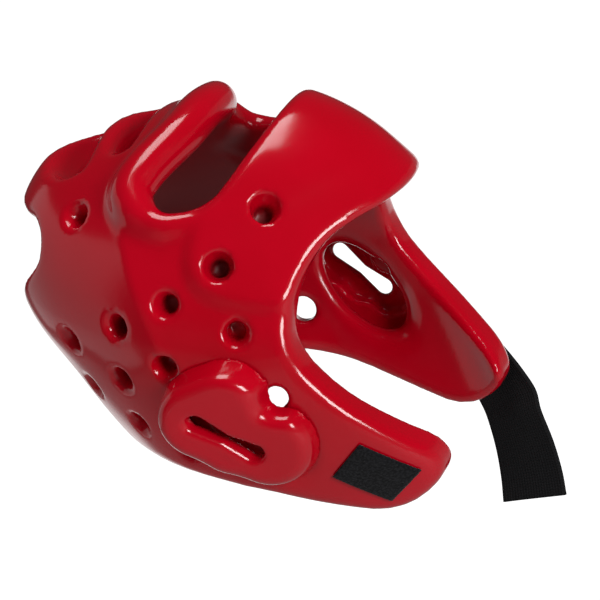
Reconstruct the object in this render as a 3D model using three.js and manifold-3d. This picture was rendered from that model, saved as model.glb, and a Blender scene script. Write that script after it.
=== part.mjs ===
import * as THREE from 'three';
import Module from 'manifold-3d';

const wasm = await Module();
wasm.setup();

// Foam sparring headgear, worn upright: +X is the wearer's left, -Y is forward, +Z is up.
// Sizes are in mm. HEAD is half the length of the padded form; tables give lengths as shares
// of it, from the middle of the head where the crown dome starts. The finished group is then
// moved so that the origin is where the crown bar rests on top of the head.
const HEAD = 100;
const SEAT_BACK = -0.24 * HEAD;
const WALL = 18;
const CROWN_FRONT = 0.98 * HEAD;
const CROWN_BACK = 1.07 * HEAD;
const BROW_NARROWING = 0.0034;
const BACK_NARROWING = 0.0022;
const TOUCH_GAP = 0.3;
const AROUND = 52;
const SKIRT_ROWS = 8;
const DOME_ROWS = 10;
const SKIRT_FOOT = -1.5 * HEAD;

// Level sections of the outer face, from below the jaw up to the crown.
const SECTIONS = [
  { up: -1.50, half: 0.58, front: 1.12, back: 0.44 },
  { up: -1.20, half: 0.70, front: 1.13, back: 0.50 },
  { up: -0.90, half: 0.82, front: 1.13, back: 0.60 },
  { up: -0.60, half: 0.90, front: 1.13, back: 0.71 },
  { up: -0.30, half: 0.94, front: 1.14, back: 0.84 },
  { up: 0.00, half: 0.97, front: 1.15, back: 0.92 },
  { up: 0.30, half: 0.97, front: 1.14, back: 0.97 },
  { up: 0.60, half: 0.96, front: 1.13, back: 0.99 },
];

// Side outline: brow, eye corner, cheek, jaw tip, lower rim and nape.
const SIDE_OUTLINE = [
  { back: -2.00, up: 2.00 },
  { back: -2.00, up: 0.16 },
  { back: -1.12, up: 0.17 },
  { back: -0.94, up: 0.20 },
  { back: -0.79, up: 0.17 },
  { back: -0.64, up: 0.03 },
  { back: -0.56, up: -0.18 },
  { back: -0.63, up: -0.44 },
  { back: -0.77, up: -0.73 },
  { back: -0.88, up: -0.94 },
  { back: -0.86, up: -1.09 },
  { back: -0.57, up: -1.16 },
  { back: -0.31, up: -0.98 },
  { back: 0.00, up: -0.72 },
  { back: 0.35, up: -0.50 },
  { back: 0.70, up: -0.41 },
  { back: 1.10, up: -0.35 },
  { back: 2.00, up: -0.35 },
  { back: 2.00, up: 2.00 },
];

// Crown openings as seen from the middle of the head on a level HEAD above it.
const FRONT_SLOT = [
  { across: 0.00, front: -0.97, rear: -0.38 },
  { across: 0.35, front: -0.94, rear: -0.36 },
  { across: 0.62, front: -0.87, rear: -0.23 },
  { across: 0.87, front: -0.80, rear: -0.14 },
  { across: 1.07, front: -0.70, rear: -0.18 },
  { across: 1.19, front: -0.55, rear: -0.33 },
];
const MIDDLE_SLOT = [
  { across: 0.00, front: -0.05, rear: 0.13 },
  { across: 0.22, front: -0.05, rear: 0.12 },
  { across: 0.36, front: -0.02, rear: 0.08 },
];
const REAR_SLOT = [
  { across: 0.00, front: 0.21, rear: 0.53 },
  { across: 0.22, front: 0.205, rear: 0.51 },
  { across: 0.36, front: 0.23, rear: 0.44 },
  { across: 0.41, front: 0.28, rear: 0.36 },
];
// Nape window as seen from the middle of the head on a wall HEAD behind it.
const NAPE_WINDOW = [
  { across: 0.00, low: 0.20, high: 1.18 },
  { across: 0.24, low: 0.32, high: 1.19 },
  { across: 0.42, low: 0.52, high: 1.24 },
  { across: 0.62, low: 0.72, high: 1.32 },
  { across: 0.87, low: 0.94, high: 1.49 },
  { across: 1.08, low: 1.20, high: 1.46 },
];

// Rolled lip along the rear rim of the front slot, from the middle to its right end.
const LIP_RADIUS = 10.5;
const LIP = [
  { across: 0.00, back: -0.27, up: 0.895, thick: 1.0 },
  { across: 0.24, back: -0.23, up: 0.87, thick: 1.0 },
  { across: 0.46, back: -0.09, up: 0.825, thick: 1.0 },
  { across: 0.58, back: -0.02, up: 0.775, thick: 1.0 },
  { across: 0.65, back: -0.03, up: 0.70, thick: 0.9 },
  { across: 0.69, back: -0.09, up: 0.63, thick: 0.57 },
];

// Vent holes on each side: a straight bore with a flared mouth.
const VENT_BORE = 4.5;
const VENT_MOUTH = 7.4;
const VENT_FLARE = 6;
const VENT_SIDES = 8;
const VENTS = [
  { across: 0.545, back: -0.62, up: 0.42 },
  { across: 0.75, back: -0.38, up: 0.30 },
  { across: 0.875, back: -0.11, up: 0.26 },
  { across: 0.87, back: 0.18, up: 0.25 },
  { across: 0.73, back: 0.53, up: 0.25 },
  { across: 0.88, back: -0.37, up: 0.01 },
  { across: 0.935, back: 0.02, up: 0.00 },
  { across: 0.84, back: 0.31, up: 0.00 },
  { across: 0.66, back: 0.62, up: -0.03 },
  { across: 0.78, back: 0.38, up: -0.25 },
  { across: 0.88, back: 0.17, up: -0.41 },
  { across: 0.575, back: 0.25, up: 0.745 },
];

// Ear cover: joined round lobes with a notch in front, seen from the side. It is a hollow cap whose
// sides spread by EAR_SPREAD for each mm below its face.
const EAR_LOBES = [
  { back: -0.085, up: -0.28, radius: 0.195 },
  { back: -0.21, up: -0.27, radius: 0.18 },
  { back: -0.29, up: -0.535, radius: 0.195 },
  { back: -0.17, up: -0.42, radius: 0.19 },
];
const EAR_NOTCH = { back: -0.455, up: -0.335, radius: 0.085 };
const EAR_SLOT = [
  { back: -0.10, up: -0.185, half: 0.014 },
  { back: -0.125, up: -0.235, half: 0.046 },
  { back: -0.195, up: -0.37, half: 0.027 },
  { back: -0.26, up: -0.495, half: 0.046 },
  { back: -0.285, up: -0.545, half: 0.014 },
];
const EAR_WALL = 7.5;
const EAR_SPREAD = 0.22;
const EAR_FACE = { across: 1.08, back: -0.08, up: -0.45 };
const EAR_FACE_TILT = { back: 0.12, up: 0.2 };
const EAR_EDGE_ROUND = 5;
// Oval opening in the wall behind each ear cover.
const EAR_OPENING = { back: -0.17, up: -0.40, long: 0.27, short: 0.135, lean: 0.42 };
const SIGHT_HOLE = { back: -0.40, up: -0.345, radius: 0.05 };

// Fastener patch on the right jaw and webbing strap on the left jaw.
const PATCH_THICK = 1.6;
const PATCH_CORNERS = [
  { back: -0.645, up: -0.715 },
  { back: -0.81, up: -0.98 },
  { back: -0.60, up: -1.07 },
  { back: -0.435, up: -0.82 },
];
// Webbing strap: sewn over the left jaw's face, then hanging free from its tip.
const STRAP_THICK = 2.2;
const STRAP_SEAT = [
  { up: -0.77, rear: -0.33, front: -0.70 },
  { up: -0.85, rear: -0.38, front: -0.75 },
  { up: -0.93, rear: -0.43, front: -0.795 },
  { up: -1.02, rear: -0.49, front: -0.845 },
  { up: -1.11, rear: -0.55, front: -0.89 },
];
const STRAP_FREE = [
  { rearAcross: 0.685, rearBack: -0.575, rearUp: -1.22, frontAcross: 0.565, frontBack: -0.93, frontUp: -1.20 },
  { rearAcross: 0.63, rearBack: -0.59, rearUp: -1.30, frontAcross: 0.495, frontBack: -0.935, frontUp: -1.29 },
  { rearAcross: 0.57, rearBack: -0.585, rearUp: -1.43, frontAcross: 0.445, frontBack: -0.94, frontUp: -1.45 },
  { rearAcross: 0.51, rearBack: -0.565, rearUp: -1.56, frontAcross: 0.41, frontBack: -0.925, frontUp: -1.60 },
  { rearAcross: 0.45, rearBack: -0.54, rearUp: -1.67, frontAcross: 0.38, frontBack: -0.90, frontUp: -1.72 },
];

function smoothstep(low, high, value) {
  const t = Math.min(1, Math.max(0, (value - low) / (high - low)));
  return t * t * (3 - 2 * t);
}

// Smooth reading of one column of a table between its rows.
function read(rows, key, column, at) {
  const last = rows.length - 1;
  const x = Math.min(rows[last][key], Math.max(rows[0][key], at));
  let i = 0;
  while (i < last - 1 && x > rows[i + 1][key]) i += 1;
  const slope = (j) => {
    const a = Math.max(0, j - 1);
    const b = Math.min(last, j + 1);
    return (rows[b][column] - rows[a][column]) / (rows[b][key] - rows[a][key]);
  };
  const h = rows[i + 1][key] - rows[i][key];
  const t = (x - rows[i][key]) / h;
  const t2 = t * t;
  const t3 = t2 * t;
  const ends = (2 * t3 - 3 * t2 + 1) * rows[i][column] + (3 * t2 - 2 * t3) * rows[i + 1][column];
  return ends + (t3 - 2 * t2 + t) * h * slope(i) + (t3 - t2) * h * slope(i + 1);
}

// Share of the way out to the padded form's face; 1 lies on the face grown by grow mm.
function shareOut(x, y, z, grow) {
  const up = z / HEAD;
  const narrowing = BROW_NARROWING * smoothstep(-20, 40, z);
  const taper = (1 + narrowing * Math.min(y, 0)) * (1 - BACK_NARROWING * Math.max(y, 0));
  const half = (HEAD * read(SECTIONS, 'up', 'half', up) + grow) * taper;
  const side = y < 0 ? 'front' : 'back';
  const deep = HEAD * read(SECTIONS, 'up', side, up) + grow;
  const rearness = smoothstep(-20, 60, y);
  const squareness = rearness * smoothstep(0, 60, z) + 1.2 * (1 - rearness) * smoothstep(20, -60, z);
  const power = 2.2 + squareness;
  const high = CROWN_FRONT + (CROWN_BACK - CROWN_FRONT) * rearness + grow;
  const round = 2.05;
  const level = (Math.abs(x) / half) ** round + (Math.max(z, 0) / high) ** round;
  return (level ** (power / round) + (Math.abs(y) / deep) ** power) ** (1 / power);
}

function faceDistance(start, way, grow) {
  let near = 0;
  let far = 2.5 * HEAD;
  for (let i = 0; i < 40; i += 1) {
    const mid = (near + far) / 2;
    const p = start.clone().addScaledVector(way, mid);
    if (shareOut(p.x, p.y, p.z, grow) < 1) near = mid;
    else far = mid;
  }
  return near;
}

function solid(points, faces) {
  const vertProperties = new Float32Array(points.flatMap((p) => [p.x, p.y, p.z]));
  const triVerts = new Uint32Array(faces.flat());
  return new wasm.Manifold(new wasm.Mesh({ numProp: 3, vertProperties, triVerts }));
}

// Closed skin through equal rings of points, first ring to last, capped at both ends.
function loft(rings) {
  const n = rings[0].length;
  const points = rings.flat();
  const faces = [];
  for (let j = 0; j < rings.length - 1; j += 1) {
    for (let i = 0; i < n; i += 1) {
      const a = j * n + i;
      const b = j * n + (i + 1) % n;
      faces.push([a, b, b + n], [a, b + n, a + n]);
    }
  }
  for (const [start, turned] of [[0, true], [(rings.length - 1) * n, false]]) {
    const middle = new THREE.Vector3();
    for (let i = 0; i < n; i += 1) middle.addScaledVector(points[start + i], 1 / n);
    const hub = points.length;
    points.push(middle);
    for (let i = 0; i < n; i += 1) {
      const a = start + i;
      const b = start + (i + 1) % n;
      faces.push(turned ? [hub, b, a] : [hub, a, b]);
    }
  }
  const made = solid(points, faces);
  if (made.volume() > 0) return made;
  return solid(points, faces.map(([a, b, c]) => [a, c, b]));
}

// The whole padded form as a closed body, its face moved out by grow mm.
function form(grow) {
  const rings = [];
  for (let j = 0; j <= SKIRT_ROWS; j += 1) {
    const z = SKIRT_FOOT * (1 - j / SKIRT_ROWS);
    rings.push({ z, lift: 0 });
  }
  for (let j = 1; j < DOME_ROWS; j += 1) {
    rings.push({ z: 0, lift: (Math.PI / 2) * (j / DOME_ROWS) });
  }
  const drawn = rings.map(({ z, lift }) => {
    const ring = [];
    for (let i = 0; i < AROUND; i += 1) {
      const turn = (2 * Math.PI * i) / AROUND;
      const flat = Math.cos(lift);
      const way = new THREE.Vector3(Math.cos(turn) * flat, Math.sin(turn) * flat, Math.sin(lift));
      const start = new THREE.Vector3(0, 0, z);
      ring.push(start.clone().addScaledVector(way, faceDistance(start, way, grow)));
    }
    return ring;
  });
  return loft(drawn);
}

// Softened closed outline: each corner is cut back twice.
function softened(outline) {
  let line = outline;
  for (let pass = 0; pass < 2; pass += 1) {
    line = line.flatMap(([a, b], i) => {
      const [c, d] = line[(i + 1) % line.length];
      return [[0.75 * a + 0.25 * c, 0.75 * b + 0.25 * d], [0.25 * a + 0.75 * c, 0.25 * b + 0.75 * d]];
    });
  }
  return line;
}

// Flat outline shapes carry [first, second] pairs; place maps a pair and a depth to a point.
function prism(outline, depths, place) {
  const shape = outline.map(([a, b]) => new THREE.Vector2(a, b));
  const corners = THREE.ShapeUtils.isClockWise(shape) ? [...outline].reverse() : outline;
  const flat = corners.map(([a, b]) => new THREE.Vector2(a, b));
  const cap = THREE.ShapeUtils.triangulateShape(flat, []);
  const n = corners.length;
  const points = depths.flatMap((depth) => corners.map(([a, b]) => place(a, b, depth)));
  const faces = cap.map(([a, b, c]) => [a, c, b]);
  const top = (depths.length - 1) * n;
  faces.push(...cap.map(([a, b, c]) => [a + top, b + top, c + top]));
  for (let j = 0; j < depths.length - 1; j += 1) {
    for (let i = 0; i < n; i += 1) {
      const a = j * n + i;
      const b = j * n + (i + 1) % n;
      faces.push([a, b, b + n], [a, b + n, a + n]);
    }
  }
  const made = solid(points, faces);
  if (made.volume() > 0) return made;
  return solid(points, faces.map(([a, b, c]) => [a, c, b]));
}

// Mirrored outline of an opening from rows running out from the middle.
function openingOutline(rows, first, second) {
  const right = rows.map((row) => [HEAD * row.across, HEAD * row[first]]);
  const back = rows.map((row) => [HEAD * row.across, HEAD * row[second]]).reverse();
  const half = [...right, ...back];
  const other = half.map(([a, b]) => [-a, b]).reverse();
  return [...half, ...other.filter(([a]) => Math.abs(a) > 1e-6)];
}

function crownCutter(rows) {
  const outline = softened(openingOutline(rows, 'front', 'rear'));
  return prism(outline, [0.35, 1.5], (a, b, t) => new THREE.Vector3(a * t, b * t, HEAD * t));
}

function napeCutter(rows) {
  const outline = softened(openingOutline(rows, 'low', 'high'));
  return prism(outline, [0.35, 1.6], (a, b, t) => new THREE.Vector3(a * t, HEAD * t, b * t));
}

// Radius at which a side-view blend of round lobes ends, looking out from a middle point.
function lobeOutline(lobes, blend, steps, cut) {
  const middle = [0, 0];
  for (const lobe of lobes) {
    middle[0] += (HEAD * lobe.back) / lobes.length;
    middle[1] += (HEAD * lobe.up) / lobes.length;
  }
  const inside = (y, z) => {
    let sum = 0;
    for (const lobe of lobes) {
      const d = Math.hypot(y - HEAD * lobe.back, z - HEAD * lobe.up) - HEAD * lobe.radius;
      sum += Math.exp(-d / blend);
    }
    let depth = -blend * Math.log(sum);
    if (cut) {
      const d = HEAD * cut.radius - Math.hypot(y - HEAD * cut.back, z - HEAD * cut.up);
      depth = blend * Math.log(Math.exp(depth / blend) + Math.exp(d / blend));
    }
    return depth < 0;
  };
  const line = [];
  for (let i = 0; i < steps; i += 1) {
    const turn = (2 * Math.PI * i) / steps;
    let near = 0;
    let far = 0.8 * HEAD;
    for (let k = 0; k < 30; k += 1) {
      const mid = (near + far) / 2;
      if (inside(middle[0] + mid * Math.cos(turn), middle[1] + mid * Math.sin(turn))) near = mid;
      else far = mid;
    }
    line.push([middle[0] + near * Math.cos(turn), middle[1] + near * Math.sin(turn)]);
  }
  return { line, middle };
}

// Closed side-view outline of a band from rows of middle points and half widths.
function bandOutline(rows) {
  const side = (turn) => rows.map((row, i) => {
    const a = rows[Math.max(0, i - 1)];
    const b = rows[Math.min(rows.length - 1, i + 1)];
    const along = [b.back - a.back, b.up - a.up];
    const length = Math.hypot(along[0], along[1]);
    const shift = (turn * row.half) / length;
    return [HEAD * (row.back - shift * along[1]), HEAD * (row.up + shift * along[0])];
  });
  return softened([...side(1), ...side(-1).reverse()]);
}

function earFace(y, z) {
  const tilt = EAR_FACE_TILT.back * (y - HEAD * EAR_FACE.back) + EAR_FACE_TILT.up * (z - HEAD * EAR_FACE.up);
  return HEAD * EAR_FACE.across + tilt;
}

// Ear cover on the wearer's left; the right one is its mirror image.
function earCover(clearForm) {
  const { line, middle } = lobeOutline(EAR_LOBES, 3, 34, EAR_NOTCH);
  const depth = 0.6 * HEAD;
  const cap = (rows) => loft(rows.map(({ inset, down }) => line.map(([y, z]) => {
    const reach = Math.hypot(y - middle[0], z - middle[1]);
    const keep = (reach - inset + EAR_SPREAD * down) / reach;
    const py = middle[0] + keep * (y - middle[0]);
    const pz = middle[1] + keep * (z - middle[1]);
    return new THREE.Vector3(earFace(py, pz) - down, py, pz);
  })));
  const outside = cap([
    { inset: 0, down: depth },
    { inset: 0, down: EAR_EDGE_ROUND },
    { inset: 0.3 * EAR_EDGE_ROUND, down: 0.3 * EAR_EDGE_ROUND },
    { inset: EAR_EDGE_ROUND, down: 0 },
  ]);
  const hollow = cap([
    { inset: EAR_WALL, down: depth + EAR_WALL },
    { inset: EAR_WALL, down: EAR_WALL + 0.6 * EAR_EDGE_ROUND },
    { inset: EAR_WALL + 0.6 * EAR_EDGE_ROUND, down: EAR_WALL },
  ]);
  const slot = bandOutline(EAR_SLOT);
  const through = prism(slot, [0, 2 * HEAD], (y, z, x) => new THREE.Vector3(x, y, z));
  return outside.subtract(hollow).subtract(through).subtract(clearForm);
}

function ventCutter(vent, side) {
  const mouth = new THREE.Vector3(side * HEAD * vent.across, HEAD * vent.back, HEAD * vent.up);
  const way = mouth.clone().normalize();
  const distance = faceDistance(new THREE.Vector3(), way, 0);
  const rows = [
    { out: -2.4 * WALL, radius: VENT_BORE },
    { out: -VENT_FLARE, radius: VENT_BORE },
    { out: -0.25 * VENT_FLARE, radius: 0.45 * VENT_BORE + 0.55 * VENT_MOUTH },
    { out: VENT_FLARE, radius: 2 * VENT_MOUTH - 0.45 * VENT_BORE - 0.55 * VENT_MOUTH },
  ];
  const across = new THREE.Vector3().crossVectors(way, new THREE.Vector3(0, 0, 1)).normalize();
  const upward = new THREE.Vector3().crossVectors(across, way);
  const rings = rows.map(({ out, radius }) => {
    const ring = [];
    for (let i = 0; i < VENT_SIDES; i += 1) {
      const turn = (2 * Math.PI * i) / VENT_SIDES;
      const p = way.clone().multiplyScalar(distance + out);
      p.addScaledVector(across, radius * Math.cos(turn));
      ring.push(p.addScaledVector(upward, radius * Math.sin(turn)));
    }
    return ring;
  });
  return loft(rings);
}

// Round roll following a row of points, thinning as the rows say.
function roll(rows, radius, steps, sides) {
  const path = new THREE.CatmullRomCurve3(rows.map((r) => r.at));
  const rings = [];
  for (let j = 0; j <= steps; j += 1) {
    const t = j / steps;
    const at = path.getPoint(t);
    const way = path.getTangent(t);
    const across = new THREE.Vector3().crossVectors(way, new THREE.Vector3(0, -0.4, 1)).normalize();
    const upward = new THREE.Vector3().crossVectors(across, way);
    const k = Math.min(rows.length - 1.001, t * (rows.length - 1));
    const i = Math.floor(k);
    const thick = radius * (rows[i].thick + (k - i) * (rows[i + 1].thick - rows[i].thick));
    const ring = [];
    for (let s = 0; s < sides; s += 1) {
      const turn = (2 * Math.PI * s) / sides;
      const p = at.clone().addScaledVector(across, thick * Math.cos(turn));
      ring.push(p.addScaledVector(upward, thick * Math.sin(turn)));
    }
    rings.push(ring);
  }
  return loft(rings);
}

function mirrored(body) {
  return body.mirror([1, 0, 0]);
}

const outer = form(0);
const inner = form(-WALL);
const touchForm = form(TOUCH_GAP);

// Shell: one padded wall, cut to the side outline and opened.
const sidePairs = softened(SIDE_OUTLINE.map((row) => [HEAD * row.back, HEAD * row.up]));
const kept = prism(sidePairs, [-2 * HEAD, 2 * HEAD], (y, z, x) => new THREE.Vector3(x, y, z));
let shell = outer.subtract(inner).intersect(kept);
const rightLip = LIP.map((row) => ({
  at: new THREE.Vector3(-HEAD * row.across, HEAD * row.back, HEAD * row.up),
  thick: row.thick,
}));
const leftLip = LIP.slice(1).map((row) => ({
  at: new THREE.Vector3(HEAD * row.across, HEAD * row.back, HEAD * row.up),
  thick: row.thick,
}));
for (const rows of [FRONT_SLOT, MIDDLE_SLOT, REAR_SLOT]) shell = shell.subtract(crownCutter(rows));
shell = shell.add(roll([...leftLip.reverse(), ...rightLip], LIP_RADIUS, 26, 10));
shell = shell.subtract(napeCutter(NAPE_WINDOW));
const oval = [];
for (let i = 0; i < 24; i += 1) {
  const turn = (2 * Math.PI * i) / 24;
  const a = HEAD * EAR_OPENING.long * Math.cos(turn);
  const b = HEAD * EAR_OPENING.short * Math.sin(turn);
  const lean = EAR_OPENING.lean;
  const y = HEAD * EAR_OPENING.back + b * Math.cos(lean) + a * Math.sin(lean);
  oval.push([y, HEAD * EAR_OPENING.up - b * Math.sin(lean) + a * Math.cos(lean)]);
}
for (const side of [-1, 1]) {
  const place = (y, z, x) => new THREE.Vector3(side * x, y, z);
  shell = shell.subtract(prism(oval, [0.3 * HEAD, 1.5 * HEAD], place));
  const hole = lobeOutline([SIGHT_HOLE], 1, 14, null).line;
  shell = shell.subtract(prism(hole, [0.3 * HEAD, 1.5 * HEAD], place));
  for (const vent of VENTS) shell = shell.subtract(ventCutter(vent, side));
}

const coverLeft = earCover(touchForm);
const coverRight = mirrored(coverLeft);

// Fastener patch: a thin skin of the form over its corners.
const patchPairs = PATCH_CORNERS.map((row) => [HEAD * row.back, HEAD * row.up]);
const patchBlock = prism(patchPairs, [-1.5 * HEAD, -0.2 * HEAD], (y, z, x) => new THREE.Vector3(x, y, z));
const patch = form(TOUCH_GAP + PATCH_THICK).subtract(touchForm).intersect(patchBlock);

// How far out along X the form's face lies at one place in the side view.
function faceAcross(y, z, grow) {
  return faceDistance(new THREE.Vector3(0, y, z), new THREE.Vector3(1, 0, 0), grow);
}

// Strap: each section is a thin band, first against the jaw's face and then free.
function strap() {
  const shares = [0, 0.25, 0.5, 0.75, 1];
  const rings = STRAP_SEAT.map((row) => {
    const along = (share) => HEAD * (row.rear + share * (row.front - row.rear));
    const z = HEAD * row.up;
    const skin = (share, grow) => new THREE.Vector3(faceAcross(along(share), z, grow), along(share), z);
    const near = shares.map((share) => skin(share, TOUCH_GAP + 0.1));
    const far = shares.map((share) => skin(share, TOUCH_GAP + 0.1 + STRAP_THICK)).reverse();
    return [...near, ...far];
  });
  for (let i = 0; i < STRAP_FREE.length; i += 1) {
    const row = STRAP_FREE[i];
    const next = STRAP_FREE[Math.min(STRAP_FREE.length - 1, i + 1)];
    const last = STRAP_FREE[Math.max(0, i - 1)];
    const rear = new THREE.Vector3(row.rearAcross, row.rearBack, row.rearUp).multiplyScalar(HEAD);
    const front = new THREE.Vector3(row.frontAcross, row.frontBack, row.frontUp).multiplyScalar(HEAD);
    const down = new THREE.Vector3(
      next.rearAcross - last.rearAcross,
      next.rearBack - last.rearBack,
      next.rearUp - last.rearUp,
    );
    const wide = front.clone().sub(rear);
    const thick = new THREE.Vector3().crossVectors(down, wide).normalize().multiplyScalar(STRAP_THICK);
    if (thick.x < 0) thick.negate();
    const near = shares.map((share) => rear.clone().addScaledVector(wide, share));
    const far = near.map((p) => p.clone().add(thick)).reverse();
    rings.push([...near, ...far]);
  }
  return loft(rings);
}

const seatHeight = faceDistance(new THREE.Vector3(0, SEAT_BACK, 0), new THREE.Vector3(0, 0, 1), -WALL);
const toSeat = [0, -SEAT_BACK, -seatHeight];

function piece(name, body, colour, roughness) {
  const mesh = body.translate(toSeat).getMesh();
  const geometry = new THREE.BufferGeometry();
  geometry.setAttribute('position', new THREE.BufferAttribute(new Float32Array(mesh.vertProperties), 3));
  geometry.setIndex(new THREE.BufferAttribute(new Uint32Array(mesh.triVerts), 1));
  geometry.computeVertexNormals();
  const material = new THREE.MeshStandardMaterial({ color: colour, roughness, metalness: 0 });
  const node = new THREE.Mesh(geometry, material);
  node.name = name;
  return node;
}

const headgear = new THREE.Group();
headgear.name = 'taekwondo_headgear';
headgear.add(piece('shell', shell, 0xb30012, 0.22));
headgear.add(piece('ear_cover_left', coverLeft, 0xb30012, 0.22));
headgear.add(piece('ear_cover_right', coverRight, 0xb30012, 0.22));
headgear.add(piece('fastener_patch', patch, 0x16171a, 0.9));
headgear.add(piece('chin_strap', strap(), 0x0d0e10, 0.85));

export default headgear;
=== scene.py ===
import math

import bmesh
import bpy
import numpy as np
from mathutils import Matrix, Vector


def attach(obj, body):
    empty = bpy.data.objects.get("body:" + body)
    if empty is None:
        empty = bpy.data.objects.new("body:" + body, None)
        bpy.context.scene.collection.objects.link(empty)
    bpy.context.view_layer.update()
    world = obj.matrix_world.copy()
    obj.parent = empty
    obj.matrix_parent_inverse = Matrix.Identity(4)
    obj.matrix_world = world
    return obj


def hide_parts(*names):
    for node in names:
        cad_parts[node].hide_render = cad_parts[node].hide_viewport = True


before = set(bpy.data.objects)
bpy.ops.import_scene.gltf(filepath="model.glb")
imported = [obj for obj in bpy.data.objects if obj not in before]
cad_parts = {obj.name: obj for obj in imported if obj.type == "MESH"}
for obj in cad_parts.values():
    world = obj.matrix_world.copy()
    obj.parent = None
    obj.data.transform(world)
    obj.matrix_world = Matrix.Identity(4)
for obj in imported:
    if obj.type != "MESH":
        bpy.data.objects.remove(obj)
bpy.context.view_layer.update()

# Camera: the photograph's view of the headgear, rolled as the photograph is. VIEW_RIGHT and VIEW_UP
# are the picture's own directions. The sections work in mm from the middle of the head, with x to
# the wearer's left, y to the back and z up, and HEAD_TO_ROW takes that to the object's frame.
HEAD_TO_ROW = np.array([0.0, 24.0, -78.2])
MM_PER_METRE = 1000.0
VIEW_REF = np.array([0.0, -3.0, -45.0]) + HEAD_TO_ROW
VIEW_RIGHT = np.array([0.321, -0.828, -0.459])
VIEW_UP = np.array([0.383, -0.330, 0.863])
VIEW_DISTANCE = 1500.0
PIXELS_PER_MM = 2.0
PICTURE_PIXELS = 600.0
REF_PIXEL = (283.5, 365.2)
SENSOR_WIDTH = 36.0
FARTHEST_SEEN = 50.0

right = VIEW_RIGHT / np.linalg.norm(VIEW_RIGHT)
back = np.cross(right, VIEW_UP)
back = back / np.linalg.norm(back)
up = np.cross(back, right)
eye = VIEW_REF + VIEW_DISTANCE * back
eye = eye + right * (PICTURE_PIXELS / 2 - REF_PIXEL[0]) / PIXELS_PER_MM
eye = eye + up * (REF_PIXEL[1] - PICTURE_PIXELS / 2) / PIXELS_PER_MM
camera = bpy.data.objects.new("camera", bpy.data.cameras.new("camera"))
camera.data.sensor_width = SENSOR_WIDTH
camera.data.lens = SENSOR_WIDTH * PIXELS_PER_MM * VIEW_DISTANCE / PICTURE_PIXELS
camera.data.clip_end = FARTHEST_SEEN
placed = Matrix([list(right), list(up), list(back)]).transposed().to_4x4()
placed.translation = Vector(eye / MM_PER_METRE)
camera.matrix_world = placed
bpy.context.scene.collection.objects.link(camera)
bpy.context.scene.camera = camera


# Shell: one moulded foam wall with a thick glossy dip, from the brow pad over the crown bar and its
# rolled lip to the nape. It has an opening over each ear, two plain holes beside it and flared vents
# that end inside the foam. Tables give one side, with x as the distance from the middle plane.
WALL = 18.0
WALL_ROUND = 4
EDGE_ROUND = 7.0
SECTIONS = {
    "up": [-150, -120, -90, -60, -30, 0, 30, 60],
    "half": [58, 70, 82, 90, 94, 97, 97, 96],
    "front": [112, 113, 113, 113, 114, 115, 114, 113],
    "back": [44, 50, 60, 69, 81, 88, 93, 96],
}
BROW_NARROWING = 0.0034
BROW_BAND = (-20, 40)
BACK_NARROWING = 0.0022
REAR_BAND = (-20, 60)
CROWN_HIGH = 98
CROWN_BACK_RISE = 9
DOME_POWER = 2.05
SIDE_POWER = 2.2
BACK_SQUARENESS = 1.0
BACK_BAND = (0, 60)
JAW_SQUARENESS = 1.2
JAW_BAND = (20, -60)


def smoothstep(low, high, value):
    t = np.clip((value - low) / (high - low), 0, 1)
    return t * t * (3 - 2 * t)


def flowing(rows, at):
    """Rows read at fractional row numbers, on a smooth curve through every row."""
    rows = np.array(rows, float)
    slope = np.gradient(rows, axis=0)
    i = np.clip(at.astype(int), 0, len(rows) - 2)
    t = (at - i).reshape(at.shape + (1,) * (rows.ndim - 1))
    ends = (2 * t**3 - 3 * t**2 + 1) * rows[i] + (3 * t**2 - 2 * t**3) * rows[i + 1]
    return ends + (t**3 - 2 * t**2 + t) * slope[i] + (t**3 - t**2) * slope[i + 1]


def section(column, z):
    up_rows = SECTIONS["up"]
    return flowing(SECTIONS[column], np.interp(z, up_rows, range(len(up_rows))))


def form(x, y, z, grow=0.0):
    """Distance outside the padded form's face grown by grow; below zero inside."""
    brow = BROW_NARROWING * smoothstep(*BROW_BAND, z) * np.minimum(y, 0)
    half = (section("half", z) + grow) * (1 + brow) * (1 - BACK_NARROWING * np.maximum(y, 0))
    deep = np.where(y < 0, section("front", z), section("back", z)) + grow
    rearness = smoothstep(*REAR_BAND, y)
    power = SIDE_POWER + BACK_SQUARENESS * rearness * smoothstep(*BACK_BAND, z)
    power = power + JAW_SQUARENESS * (1 - rearness) * smoothstep(*JAW_BAND, z)
    high = CROWN_HIGH + CROWN_BACK_RISE * rearness + grow
    above = np.maximum(z, 0)
    level = np.abs(x / half) ** DOME_POWER + (above / high) ** DOME_POWER
    share = (level ** (power / DOME_POWER) + np.abs(y / deep) ** power) ** (1 / power)
    return (share - 1) * np.sqrt(x * x + y * y + above * above) / np.maximum(share, 1e-6)


def both(a, b, blend):
    """Larger of two distances, with the crease between them rounded."""
    h = np.clip(0.5 + 0.5 * (a - b) / blend, 0, 1)
    return b + (a - b) * h + blend * h * (1 - h)


def either(a, b, blend):
    """Smaller of two distances, with the crease between them rounded."""
    return -both(-a, -b, blend)


def softened(outline, passes=2):
    """A closed outline with its corners cut off, a quarter of each side, once for each pass."""
    line = np.array(outline, float)
    for _ in range(passes):
        after = np.roll(line, -1, 0)
        line = np.stack([0.75 * line + 0.25 * after, 0.25 * line + 0.75 * after], 1).reshape(-1, 2)
    return line


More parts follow.
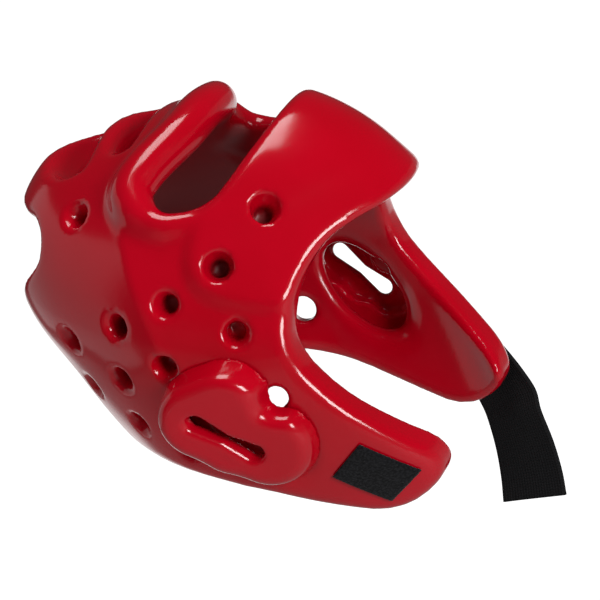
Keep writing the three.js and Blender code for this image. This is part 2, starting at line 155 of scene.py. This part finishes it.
def outside(u, v, line):
    """Distance outside a closed flat outline; below zero inside."""
    nearest = np.full(u.shape, 1e9)
    within = np.zeros(u.shape, bool)
    for (a, b), (c, d) in zip(line, np.roll(line, -1, 0)):
        t = np.clip(((u - a) * (c - a) + (v - b) * (d - b)) / ((c - a) ** 2 + (d - b) ** 2), 0, 1)
        nearest = np.minimum(nearest, (u - a - t * (c - a)) ** 2 + (v - b - t * (d - b)) ** 2)
        if b != d:
            within ^= ((b <= v) != (d <= v)) & (u < a + (v - b) / (d - b) * (c - a))
    return np.where(within, -1, 1) * np.sqrt(nearest)


def rod(x, y, z, rows):
    """Distance outside a round rod through rows of (x, y, z, radius)."""
    nearest = np.full(x.shape, 1e9)
    for p, q in zip(rows[:-1], rows[1:]):
        p, q = np.array(p, float), np.array(q, float)
        e = q[:3] - p[:3]
        t = np.clip(((x - p[0]) * e[0] + (y - p[1]) * e[1] + (z - p[2]) * e[2]) / (e @ e), 0, 1)
        gap = np.sqrt((x - p[0] - t * e[0]) ** 2 + (y - p[1] - t * e[1]) ** 2 + (z - p[2] - t * e[2]) ** 2)
        nearest = np.minimum(nearest, gap - p[3] - t * (q[3] - p[3]))
    return nearest


# The side view, as (back, up): the wall's own edge, and the brow pad that stands out from it.
SIDE_OUTLINE = [
    (-200, 200), (-200, 16), (-112, 17), (-94, 20), (-79, 17), (-64, 3), (-56, -18), (-63, -44),
    (-77, -73), (-88, -94), (-86, -109), (-57, -116), (-31, -98), (0, -72), (35, -50), (70, -41),
    (110, -35), (200, -35), (200, 200),
]
BROW_PAD = [
    (-46, 62), (-33, 52), (-25, 38), (-28, 24), (-42, 12), (-62, 2), (-90, -6), (-200, -10),
    (-200, 120), (-70, 100),
]
BROW_RAISE = 3.5
BROW_EDGE = (5, -5)

# Openings over the head are outlines on a plane DRAWN_AT from the middle, as seen from there, and
# widen outwards. The crown's are (left, back), front slot first, and the nape's (left, up). Leans
# bring a distance on the plane near to one across the wall, and NO_CUT stands where none is cut.
CROWN_OPENINGS = [
    [
        (0, -97), (35, -94), (62, -87), (85, -81), (105, -71), (118, -55), (119, -33), (108, -18),
        (88, -8), (62, -15), (35, -29), (0, -32),
    ],
    [(0, -5), (22, -5), (36, -2), (36, 8), (22, 12), (0, 13)],
    [(0, 21), (22, 20.5), (36, 23), (41, 28), (41, 36), (36, 44), (22, 51), (0, 53)],
]
CROWN_ROUNDS = (9, 5, 5)
CROWN_LEAN = 0.85
NAPE_WINDOW = [
    (0, 20), (24, 32), (42, 52), (62, 72), (90, 96), (108, 120), (106, 146), (84, 148), (56, 130),
    (30, 120), (0, 118),
]
NAPE_LEAN = 0.9
DRAWN_AT = 100
CUT_FROM = 12
NO_CUT = -50


def open_from_middle(wall, x, across, away, outline, lean, blend):
    """The wall with a two-sided outline cut through it, away from the middle of the head."""
    line = softened(outline + [(-a, b) for a, b in outline[::-1] if a])
    reach = np.maximum(away, CUT_FROM)
    cut = outside(DRAWN_AT * x / reach, DRAWN_AT * across / reach, line) * reach / DRAWN_AT * lean
    return both(wall, np.where(away > CUT_FROM, -cut, NO_CUT), blend)


# The rolled lip behind the front slot and round its end, as (out, back, up, radius).
LIP = [
    (0, -30.5, 89.5, 10.5), (24, -27, 87, 10.5), (46, -14, 82.5, 10.5), (58, -7, 77, 10.5),
    (65.5, -8, 69.5, 9.5), (69, -13, 62.5, 7.5), (70.5, -20, 57.5, 6.5), (67.5, -30, 54.5, 5),
    (61, -41, 53, 3),
]
LIP_STEPS = 6
LIP_BLEND = 6


def rolled_lip(x, y, z):
    beyond_middle = [(-out, rear, high, radius) for out, rear, high, radius in LIP[2:0:-1]]
    path = beyond_middle + LIP
    return rod(x, y, z, flowing(path, np.linspace(0, len(path) - 1, LIP_STEPS * len(path))))


# The opening over the ear is an oval of half sizes long and short, its top leant back, whose
# middle moves by the slants for each mm out from EAR_OPENING_AT.
EAR_OPENING = {"back": -20, "up": -44, "long": 28, "short": 15.5, "lean": 0.3}
EAR_OPENING_AT = 94
EAR_BACK_SLANT = 0.35
EAR_UP_SLANT = -0.15
EAR_OPENING_ROUND = 9
SIDE_CUT_FROM = 30


def ear_opening(x, y, z):
    """Distance inside the oval; below zero outside it."""
    lean = EAR_OPENING["lean"]
    rear = y - (EAR_OPENING["back"] + EAR_BACK_SLANT * (x - EAR_OPENING_AT))
    high = z - (EAR_OPENING["up"] + EAR_UP_SLANT * (x - EAR_OPENING_AT))
    along = rear * math.sin(lean) + high * math.cos(lean)
    aside = rear * math.cos(lean) - high * math.sin(lean)
    share = np.sqrt((along / EAR_OPENING["long"]) ** 2 + (aside / EAR_OPENING["short"]) ** 2)
    return (1 - share) * EAR_OPENING["short"]


# Plain holes before and behind the ear cover, as (back, up, radius, slant back for each mm out),
# and the blind vents' mouths, as (out, back, up), each bored towards the middle of the head.
SIGHT_HOLES = [(-40.5, -34.5, 5.5, -0.25), (15, -42, 7, 0.35)]
SIGHT_HOLE_AT = 88
SIGHT_HOLE_DROP = 0.45
SIGHT_HOLE_ROUND = 2
VENTS = [
    (54.5, -62, 42), (75, -38, 30), (87.5, -11, 26), (87, 18, 25), (73, 53, 25), (88, -37, 1),
    (93.5, 2, 0), (84, 31, 0), (66, 62, -3), (78, 38, -25), (57.5, 25, 74.5),
]
VENT_BORE = 4.3
VENT_MOUTH = 7.2
VENT_FLARE = (7, -2)
VENT_DEPTH = 13.5
VENT_FLOOR_ROUND = 2
VENT_ROUND = 1.5
VENT_REACH = 45


def bore_vent(wall, x, y, z, vent):
    """Cuts one flared blind vent into the wall's distances, near that vent alone."""
    near = (x - vent[0]) ** 2 + (y - vent[1]) ** 2 + (z - vent[2]) ** 2 < VENT_REACH**2
    x, y, z = x[near], y[near], z[near]
    way = np.array(vent) / np.linalg.norm(vent)
    out = x * way[0] + y * way[1] + z * way[2]
    aside = np.sqrt(np.maximum(x**2 + y**2 + z**2 - out**2, 0))
    depth = -form(x, y, z)
    radius = VENT_BORE + (VENT_MOUTH - VENT_BORE) * smoothstep(*VENT_FLARE, depth)
    bore = either(radius - aside, VENT_DEPTH - depth, VENT_FLOOR_ROUND)
    wall[near] = both(wall[near], bore, VENT_ROUND)


def shell_field(x, y, z):
    """Distance outside the shell's foam; below zero inside."""
    raised = BROW_RAISE * smoothstep(*BROW_EDGE, outside(y, z, softened(BROW_PAD)))
    wall = both(form(x, y, z) - raised, -form(x, y, z, -WALL), WALL_ROUND)
    wall = both(wall, outside(y, z, softened(SIDE_OUTLINE)), EDGE_ROUND)
    for outline, blend in zip(CROWN_OPENINGS, CROWN_ROUNDS):
        wall = open_from_middle(wall, x, y, z, outline, CROWN_LEAN, blend)
    wall = either(wall, rolled_lip(x, y, z), LIP_BLEND)
    wall = open_from_middle(wall, x, z, y, NAPE_WINDOW, NAPE_LEAN, EDGE_ROUND)
    wall = both(wall, np.where(x > SIDE_CUT_FROM, ear_opening(x, y, z), NO_CUT), EAR_OPENING_ROUND)
    for rear, high, radius, slant in SIGHT_HOLES:
        out = x - SIGHT_HOLE_AT
        hole = np.hypot(y - rear - slant * out, z - high + SIGHT_HOLE_DROP * slant * out) - radius
        wall = both(wall, np.where(x > SIDE_CUT_FROM, -hole, NO_CUT), SIGHT_HOLE_ROUND)
    for vent in VENTS:
        bore_vent(wall, x, y, z, vent)
    return wall


def surface_nets(field, low, cell):
    """Vertices and outward quads of the zero surface of a box of samples."""
    solid = field < 0
    corners = [(i, j, k) for i in (0, 1) for j in (0, 1) for k in (0, 1)]
    shape = tuple(n - 1 for n in field.shape)
    total = np.zeros(shape + (3,))
    count = np.zeros(shape)

    def part(values, corner):
        return values[tuple(slice(c, c + n) for c, n in zip(corner, shape))]

    for a in corners:
        for axis in range(3):
            if a[axis]:
                continue
            b = tuple(c + (n == axis) for n, c in enumerate(a))
            fa, fb = part(field, a), part(field, b)
            crossing = part(solid, a) != part(solid, b)
            t = np.where(crossing, fa / np.where(crossing, fa - fb, 1), 0)
            for n in range(3):
                total[..., n] += crossing * (a[n] + (t if n == axis else 0))
            count += crossing
    used = count > 0
    number = np.full(shape, -1)
    number[used] = np.arange(used.sum())
    points = (np.argwhere(used) + total[used] / count[used][:, None]) * cell + low
    quads = []
    for axis in range(3):
        ahead = tuple(slice(1, None) if n == axis else slice(None) for n in range(3))
        behind = tuple(slice(None, -1) if n == axis else slice(None) for n in range(3))
        change = solid[ahead] != solid[behind]
        u, v = (axis + 1) % 3, (axis + 2) % 3
        at = np.argwhere(change)
        at = at[(at[:, u] > 0) & (at[:, v] > 0) & (at[:, u] < shape[u]) & (at[:, v] < shape[v])]
        step_u, step_v = np.eye(3, dtype=int)[u], np.eye(3, dtype=int)[v]
        cells = [at - step_u - step_v, at - step_v, at, at - step_u]
        quad = np.stack([number[tuple(c.T)] for c in cells], 1)
        leaving = solid[tuple(at.T)]
        quad[~leaving] = quad[~leaving][:, ::-1]
        quads.append(quad)
    return points, np.concatenate(quads)


def smoothed(points, quads, passes):
    """Points moved by paired inward and outward averaging, which keeps the volume."""
    pairs = np.concatenate([quads[:, [0, 1]], quads[:, [1, 2]], quads[:, [2, 3]], quads[:, [3, 0]]])
    degree = np.bincount(pairs.ravel(), minlength=len(points))[:, None]
    for step in [0.5, -0.53] * passes:
        total = np.zeros_like(points)
        for n in range(3):
            total[:, n] += np.bincount(pairs[:, 0], points[pairs[:, 1], n], len(points))
            total[:, n] += np.bincount(pairs[:, 1], points[pairs[:, 0], n], len(points))
        points = points + step * (total / degree - points)
    return points


def smooth_mesh(name, points, quads):
    """A smooth-shaded mesh in the object's frame, from points in mm from the middle of the head."""
    mesh = bpy.data.meshes.new(name)
    mesh.from_pydata(((points + HEAD_TO_ROW) / MM_PER_METRE).tolist(), [], quads)
    mesh.polygons.foreach_set("use_smooth", np.ones(len(mesh.polygons), bool))
    return mesh


def placed_object(name, mesh):
    made = bpy.data.objects.new(name, mesh)
    bpy.context.scene.collection.objects.link(made)
    return made


# The box of samples stops past the foam on every side. Half of the shell is sampled, from one cell
# out of the middle plane, and then set against its mirror image with one cell between the two.
SHELL_CELL = 1.75
SHELL_SMOOTHING = 4
SHELL_HALF_WIDE = 104
SHELL_DEPTH = (-122, 110)
SHELL_HEIGHT = (-122, 106)
half_x = np.arange(SHELL_CELL, SHELL_HALF_WIDE, SHELL_CELL)
ys = np.arange(*SHELL_DEPTH, SHELL_CELL)
zs = np.arange(*SHELL_HEIGHT, SHELL_CELL)
half_field = shell_field(*np.meshgrid(half_x, ys, zs, indexing="ij"))
whole_field = np.concatenate([half_field[::-1], half_field])
points, quads = surface_nets(whole_field, np.array([-half_x[-1], ys[0], zs[0]]), SHELL_CELL)
points = smoothed(points, quads, SHELL_SMOOTHING)
shell = placed_object("moulded_shell", smooth_mesh("moulded_shell", points, quads.tolist()))


class Socket:
    """A node's output. Arithmetic on it adds Math nodes, and node() adds any other kind."""

    def __init__(self, tree, out):
        self.tree = tree
        self.out = out

    def take(self, values):
        """Sets or links inputs of the node that this output belongs to."""
        for key, value in values.items():
            if isinstance(value, Socket):
                self.tree.links.new(value.out, self.out.node.inputs[key])
            else:
                self.out.node.inputs[key].default_value = value
        return self

    def node(self, kind, settings, values, out=0):
        """An output of a new node in the same tree, with its settings made first."""
        made = self.tree.nodes.new(kind)
        for name, setting in settings.items():
            setattr(made, name, setting)
        return Socket(self.tree, made.outputs[out]).take(values)

    def math(self, kind, *values):
        return self.node("ShaderNodeMath", {"operation": kind}, dict(enumerate(values)))

    def __add__(self, other):
        return self.math("ADD", self, other)

    def __radd__(self, other):
        return self.math("ADD", other, self)

    def __sub__(self, other):
        return self.math("SUBTRACT", self, other)

    def __rsub__(self, other):
        return self.math("SUBTRACT", other, self)

    def __mul__(self, other):
        return self.math("MULTIPLY", self, other)

    def __rmul__(self, other):
        return self.math("MULTIPLY", other, self)

    def __truediv__(self, other):
        return self.math("DIVIDE", self, other)

    def __rtruediv__(self, other):
        return self.math("DIVIDE", other, self)

    def root(self):
        return self.math("SQRT", self)

    def sine(self):
        return self.math("SINE", self)

    def size(self):
        return self.math("ABSOLUTE", self)

    def ramp(self, low, high):
        """Smooth step from 0 where this value is low to 1 where it is high."""
        eased = {"interpolation_type": "SMOOTHSTEP"}
        return self.node("ShaderNodeMapRange", eased, {0: self, 1: low, 2: high})

    def between(self, low, high):
        """Colour from low to high as this value goes from 0 to 1."""
        return self.node("ShaderNodeMix", {"data_type": "RGBA"}, {0: self, 6: low, 7: high}, 2)

    def noise(self, scale, detail):
        return self.node("ShaderNodeTexNoise", {}, {"Vector": self, "Scale": scale, "Detail": detail})

    def bump(self, strength, distance):
        return self.node("ShaderNodeBump", {}, {"Strength": strength, "Distance": distance, "Height": self})

    def parts(self):
        """This vector's x, y and z."""
        split = self.node("ShaderNodeSeparateXYZ", {}, {0: self}).out.node
        return [Socket(self.tree, out) for out in split.outputs]


def new_material(name):
    """A material and its surface, whose inputs take() fills."""
    made = bpy.data.materials.new(name)
    made.use_nodes = True
    return made, Socket(made.node_tree, made.node_tree.nodes["Principled BSDF"].outputs[0])


def object_place(surface):
    return surface.node("ShaderNodeTexCoord", {}, {}, "Object")


# The dip is a glossy red skin, faintly clouded. Inside the head, where the foam's shade falls, the
# colour is darkened with painted shade and the skin is duller. An oval about the head's middle, in
# metres, tells inside from outside.
DIP_DULL = (0.44, 0.0, 0.008, 1)
DIP_CLEAR = (0.50, 0.0, 0.011, 1)
# Colour of the painted shade inside the head, not a colour of the dip itself.
DIP_PAINTED_SHADE = (0.20, 0.0, 0.004, 1)
HEAD_BACK, HEAD_UP = HEAD_TO_ROW[1] / MM_PER_METRE, -0.078
HEAD_HALF_WIDE = 0.097
HEAD_DEEP_SQUARED, HEAD_HIGH_SQUARED = 0.0110, 0.0100
SHADE_FROM = 0.93
SHADE_FADE = (0.0, -0.09)
SHADE_LEVELS = (-0.01, 0.03)
SHADE_LOW, SHADE_MORE = 0.25, 0.75
dip, surface = new_material("red dip")
place = object_place(surface)
cloud = place.noise(14.0, 3.0)
fine = place.noise(160.0, 2.0)
left, rear, up = place.parts()
wide, deep, high = left / HEAD_HALF_WIDE, rear - HEAD_BACK, up - HEAD_UP
share = (wide * wide + deep * deep / HEAD_DEEP_SQUARED + high * high / HEAD_HIGH_SQUARED).root()
# Mask of the painted shade: high inside the head and towards its crown. It darkens the colour and dulls the
# dip there.
inside = (share - SHADE_FROM).ramp(*SHADE_FADE) * (high.ramp(*SHADE_LEVELS) * SHADE_MORE + SHADE_LOW)
surface.take({
    "Base Color": inside.between(cloud.ramp(0.3, 0.7).between(DIP_DULL, DIP_CLEAR), DIP_PAINTED_SHADE),
    "Roughness": cloud * 0.05 + inside * 0.3 + 0.12,
    "IOR": 1.5,
    "Specular IOR Level": 0.45,
    "Normal": (fine * 0.3 + cloud).bump(0.12, 0.0006),
})
shell.data.materials.append(dip)
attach(shell, "root")
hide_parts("shell")

# Ear covers: a raised kidney of the same dipped foam over each ear opening, hollow behind, with a
# notch at the front and a dog-bone sound slot through it. Its rim is bonded to the shell, and the
# right one is the left one mirrored. Lobes, notch and slot are rows of (back, up, radius).
EAR_LOBES = [(-8.5, -28, 19.5), (-21, -27, 18), (-29, -53.5, 19.5), (-17, -42, 19.0)]
EAR_NOTCH = (-45.5, -33.5, 8.5)
EAR_SLOT = [(-7.5, -26.5, 4.4), (-14.5, -40, 2.5), (-21.5, -52.5, 4.4)]
EAR_LOBE_BLEND = 5
EAR_WALL = 7.5
EAR_FACE = (108, -8, -45)
EAR_FACE_BACK_TILT = 0.12
EAR_FACE_UP_TILT = 0.2
EAR_SPREAD = 0.22
EAR_EDGE_ROUND = 6
EAR_SEAT = 0.4
EAR_SEAT_ROUND = 0.6
EAR_HOLLOW_ROUND = 5
EAR_RIM_ROUND = 1.5
EAR_SLOT_ROUND = 3
EAR_BOX = ((66, -56, -80), (120, 14, 4))
EAR_CELL = 1.1
EAR_SMOOTHING = 3


def ear_field(x, y, z):
    """Distance outside the left cover's foam; below zero inside."""
    outline, *others = [np.hypot(y - rear, z - high) - radius for rear, high, radius in EAR_LOBES]
    for lobe in others:
        outline = either(outline, lobe, EAR_LOBE_BLEND)
    notch = EAR_NOTCH[2] - np.hypot(y - EAR_NOTCH[0], z - EAR_NOTCH[1])
    sides = both(outline, notch, EAR_LOBE_BLEND)
    inward = x - EAR_FACE[0]
    face = inward - EAR_FACE_BACK_TILT * (y - EAR_FACE[1]) - EAR_FACE_UP_TILT * (z - EAR_FACE[2])
    cover = both(sides + EAR_SPREAD * np.minimum(face, 0), face, EAR_EDGE_ROUND)
    cover = both(cover, EAR_SEAT - form(x, y, z), EAR_SEAT_ROUND)
    hollow = both(sides + EAR_WALL, face + EAR_WALL, EAR_HOLLOW_ROUND)
    cover = both(cover, -hollow, EAR_RIM_ROUND)
    rows = [(0,) + row for row in EAR_SLOT]
    slot = rod(0 * x, y - EAR_BACK_SLANT * inward, z - EAR_UP_SLANT * inward, rows)
    return both(cover, -slot, EAR_SLOT_ROUND)


def netted(field, lows, highs, cell, passes):
    """Smoothed surface of a field between two corners of a box."""
    axes = [np.arange(low, high, cell) for low, high in zip(lows, highs)]
    values = field(*np.meshgrid(*axes, indexing="ij"))
    points, quads = surface_nets(values, np.array([axis[0] for axis in axes]), cell)
    return smoothed(points, quads, passes), quads


points, quads = netted(ear_field, *EAR_BOX, EAR_CELL, EAR_SMOOTHING)
for name, side in (("left", 1), ("right", -1)):
    turned = quads[:, ::side].tolist()
    mesh = smooth_mesh(f"ear_cover_pad_{name}", points * np.array([side, 1, 1]), turned)
    cover = placed_object(f"ear_cover_pad_{name}", mesh)
    cover.data.materials.append(dip)
    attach(cover, "root")
    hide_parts(f"ear_cover_{name}")

# Fastener patch: a square of black loop fabric glued to the outside of the right jaw, where the
# chin strap's end would be pressed on. It is cut from the left jaw's face and mirrored.
PATCH_CORNERS = [(-64.5, -71.5), (-81, -98), (-60, -107), (-43.5, -82)]
PATCH_GAP = 0.3
PATCH_THICK = 1.5
PATCH_FACE_ROUND = 0.2
PATCH_EDGE_ROUND = 0.8
PATCH_BOX = ((54, -86, -114), (96, -38, -68))
PATCH_CELL = 0.8
PATCH_SMOOTHING = 2
LOOP_DARK = (0.002, 0.002, 0.0025, 1)
LOOP_LIGHT = (0.012, 0.012, 0.014, 1)


def patch_field(x, y, z):
    """Distance outside the fabric, laid on the left jaw; below zero inside."""
    skin = both(form(x, y, z, PATCH_GAP + PATCH_THICK), -form(x, y, z, PATCH_GAP), PATCH_FACE_ROUND)
    return both(skin, outside(y, z, np.array(PATCH_CORNERS, float)), PATCH_EDGE_ROUND)


points, quads = netted(patch_field, *PATCH_BOX, PATCH_CELL, PATCH_SMOOTHING)
mesh = smooth_mesh("loop_patch", points * np.array([-1, 1, 1]), quads[:, ::-1].tolist())
patch = placed_object("loop_patch", mesh)
loops, surface = new_material("loop fabric")
pile = object_place(surface).noise(900.0, 3.0)
surface.take({
    "Base Color": pile.ramp(0.35, 0.7).between(LOOP_DARK, LOOP_LIGHT),
    "Roughness": 0.95,
    "Specular IOR Level": 0.15,
    "Sheen Weight": 0.1,
    "Normal": pile.bump(0.8, 0.0008),
})
patch.data.materials.append(loops)
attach(patch, "root")
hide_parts("fastener_patch")

# Chin strap: 40 mm black webbing sewn flat over the left jaw, its free end hanging from the jaw's
# tip. Sewn rows are (up, rear edge, front edge) on the foam's face. Free rows are the two edges.
STRAP_WIDE = 40
STRAP_THICK = 1.8
STRAP_GAP = 0.4
STRAP_SEWN = [
    (-77, -33, -70), (-85, -38, -75), (-93, -43, -79.5), (-102, -49, -84.5), (-111, -55, -89),
]
STRAP_FREE = [
    ((68.5, -57.5, -122), (56.5, -93, -120)),
    ((63, -59, -130), (49.5, -93.5, -129)),
    ((57, -58.5, -143), (44.5, -94, -145)),
    ((51, -56.5, -156), (41, -92.5, -160)),
    ((45, -54, -167), (38, -90, -172)),
]
STRAP_ACROSS = 24
STRAP_STEPS = 96
BEYOND_FACE = 150.0
HALVINGS = 30
WEBBING_DARK = (0.001, 0.001, 0.0015, 1)
WEBBING_LIGHT = (0.008, 0.008, 0.009, 1)


def on_face(y, z, gap):
    """How far out the form's face, grown by gap, lies at each y on the level z."""
    z = np.full(y.shape, float(z))
    near, far = np.zeros(y.shape), np.full(y.shape, BEYOND_FACE)
    for _ in range(HALVINGS):
        middle = (near + far) / 2
        within = form(middle, y, z, gap) < 0
        near, far = np.where(within, middle, near), np.where(within, far, middle)
    return np.stack([near, y, z], 1)


rows = [on_face(np.linspace(rear, front, STRAP_ACROSS + 1), z, STRAP_GAP) for z, rear, front in STRAP_SEWN]
share = np.linspace(0, 1, STRAP_ACROSS + 1)[:, None]
for rear_edge, front_edge in STRAP_FREE:
    rows.append(np.array(rear_edge) + share * (np.array(front_edge, float) - np.array(rear_edge)))
band = flowing(rows, np.linspace(0, len(rows) - 1, STRAP_STEPS + 1))
out = np.cross(np.gradient(band, axis=0), np.gradient(band, axis=1))
out = out / np.linalg.norm(out, axis=2, keepdims=True)
out = out * np.sign(out[..., :1])
ring = np.concatenate([band, (band + STRAP_THICK * out)[:, ::-1]], 1)
around = ring.shape[1]
index = np.arange((STRAP_STEPS + 1) * around).reshape(STRAP_STEPS + 1, around)
quads = [index[:-1], index[1:], np.roll(index[1:], -1, 1), np.roll(index[:-1], -1, 1)]
quads = np.stack([q.ravel() for q in quads], 1).tolist()
for row, turn in ((0, 1), (STRAP_STEPS, -1)):
    for k in range(STRAP_ACROSS):
        corners = (k, k + 1, around - 2 - k, around - 1 - k)[::turn]
        quads.append([int(index[row, a]) for a in corners])
mesh = smooth_mesh("webbing_strap", ring.reshape(-1, 3), quads)
weave = mesh.uv_layers.new(name="weave")
length = np.linalg.norm(np.diff(band[:, STRAP_ACROSS // 2], axis=0), axis=1)
length = np.concatenate([[0], np.cumsum(length)])
lie = np.linspace(0, STRAP_WIDE, STRAP_ACROSS + 1)
spot = np.zeros((STRAP_STEPS + 1, around, 2))
spot[..., 0] = np.concatenate([lie, lie[::-1]])[None, :]
spot[..., 1] = length[:, None]
corner = np.zeros(len(mesh.loops), int)
mesh.loops.foreach_get("vertex_index", corner)
weave.data.foreach_set("uv", spot.reshape(-1, 2)[corner].ravel())
strap = placed_object("webbing_strap", mesh)
turned_out = bmesh.new()
turned_out.from_mesh(mesh)
bmesh.ops.recalc_face_normals(turned_out, faces=turned_out.faces)
turned_out.to_mesh(mesh)
turned_out.free()

# The weave is worked from mm across and along the strap: warp ribs, and picks that cross them.
webbing, surface = new_material("webbing")
across, along, _ = surface.node("ShaderNodeUVMap", {"uv_map": "weave"}, {}).parts()
ribs = (across * 3.6).sine() * 0.5 + 0.5
picks = (along * 4.4 + (across * 1.8).sine() * 1.2).sine() * 0.5 + 0.5
height = ribs * 0.6 + picks * 0.4
surface.take({
    "Base Color": height.between(WEBBING_DARK, WEBBING_LIGHT),
    "Roughness": 0.8,
    "Specular IOR Level": 0.2,
    "Normal": height.bump(0.6, 0.0005),
})
strap.data.materials.append(webbing)
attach(strap, "root")
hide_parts("chin_strap")

# Floor, studio lights and surroundings, in metres: a wide white floor well below the held-up
# headgear, whose white is a painted glow, faint everywhere and bright in a wedge beyond it, a box
# over the crown, a level box in front, a dim panel behind, and a fill at the picture's left that the
# dip doesn't mirror.
FLOOR_UP = -0.62
FLOOR_RADIUS = 14
FLOOR_SIDES = 96
PAPER = (0.45, 0.45, 0.45, 1)
AWAY_EAST, AWAY_NORTH = 0.886, 0.463
WEDGE_START = (0.5, 1.0)
WEDGE_EDGE = (0.9, 0.4)
WEDGE_SPREAD = 0.25
GLOW_LEAST, GLOW_MORE = 0.12, 0.88
LIGHTS_AIM = Vector((0, 0, -0.08))
LIGHTS = [
    # name, place, width, height, watts, mirrored in the dip
    ("top box", (0.12, -0.45, 1.1), 0.8, 0.5, 9.5, True),
    ("front box", (-0.72, -1.2, 0.02), 0.45, 0.5, 13.5, True),
    ("back panel", (-0.1, 1.9, 0.55), 2.1, 2.2, 8, True),
    ("left fill", (-1.7, 0.6, -0.1), 1.5, 1.5, 7, False),
]
SURROUNDINGS_STRENGTH = 0.05

bpy.ops.mesh.primitive_circle_add(
    vertices=FLOOR_SIDES, radius=FLOOR_RADIUS, fill_type="NGON", location=(0, 0, FLOOR_UP)
)
floor = bpy.context.object
floor.name = "floor"
paper, surface = new_material("paper")
east, north, _ = object_place(surface).parts()
behind = east * AWAY_EAST + north * AWAY_NORTH
aside = (north * AWAY_EAST - east * AWAY_NORTH).size()
# Painted glow: the floor emits light itself, faintly everywhere and brightly in the wedge beyond the
# headgear.
wedge = behind.ramp(*WEDGE_START) * (aside - behind * WEDGE_SPREAD).ramp(*WEDGE_EDGE)
surface.take({
    "Base Color": PAPER,
    "Roughness": 0.9,
    "Emission Color": wedge * GLOW_MORE + GLOW_LEAST,
    "Emission Strength": 1.05,
})
floor.data.materials.append(paper)
for name, where, wide, high, watts, mirrored in LIGHTS:
    lamp = placed_object(name, bpy.data.lights.new(name, "AREA"))
    lamp.data.shape = "RECTANGLE"
    lamp.data.size = wide
    lamp.data.size_y = high
    lamp.data.energy = watts
    lamp.visible_glossy = mirrored
    lamp.location = where
    lamp.rotation_euler = (LIGHTS_AIM - Vector(where)).to_track_quat("-Z", "Y").to_euler()
world = bpy.data.worlds.new("studio")
bpy.context.scene.world = world
world.use_nodes = True
world.node_tree.nodes["Background"].inputs["Color"].default_value = (1, 1, 1, 1)
world.node_tree.nodes["Background"].inputs["Strength"].default_value = SURROUNDINGS_STRENGTH
bpy.context.scene.view_settings.view_transform = "Standard"
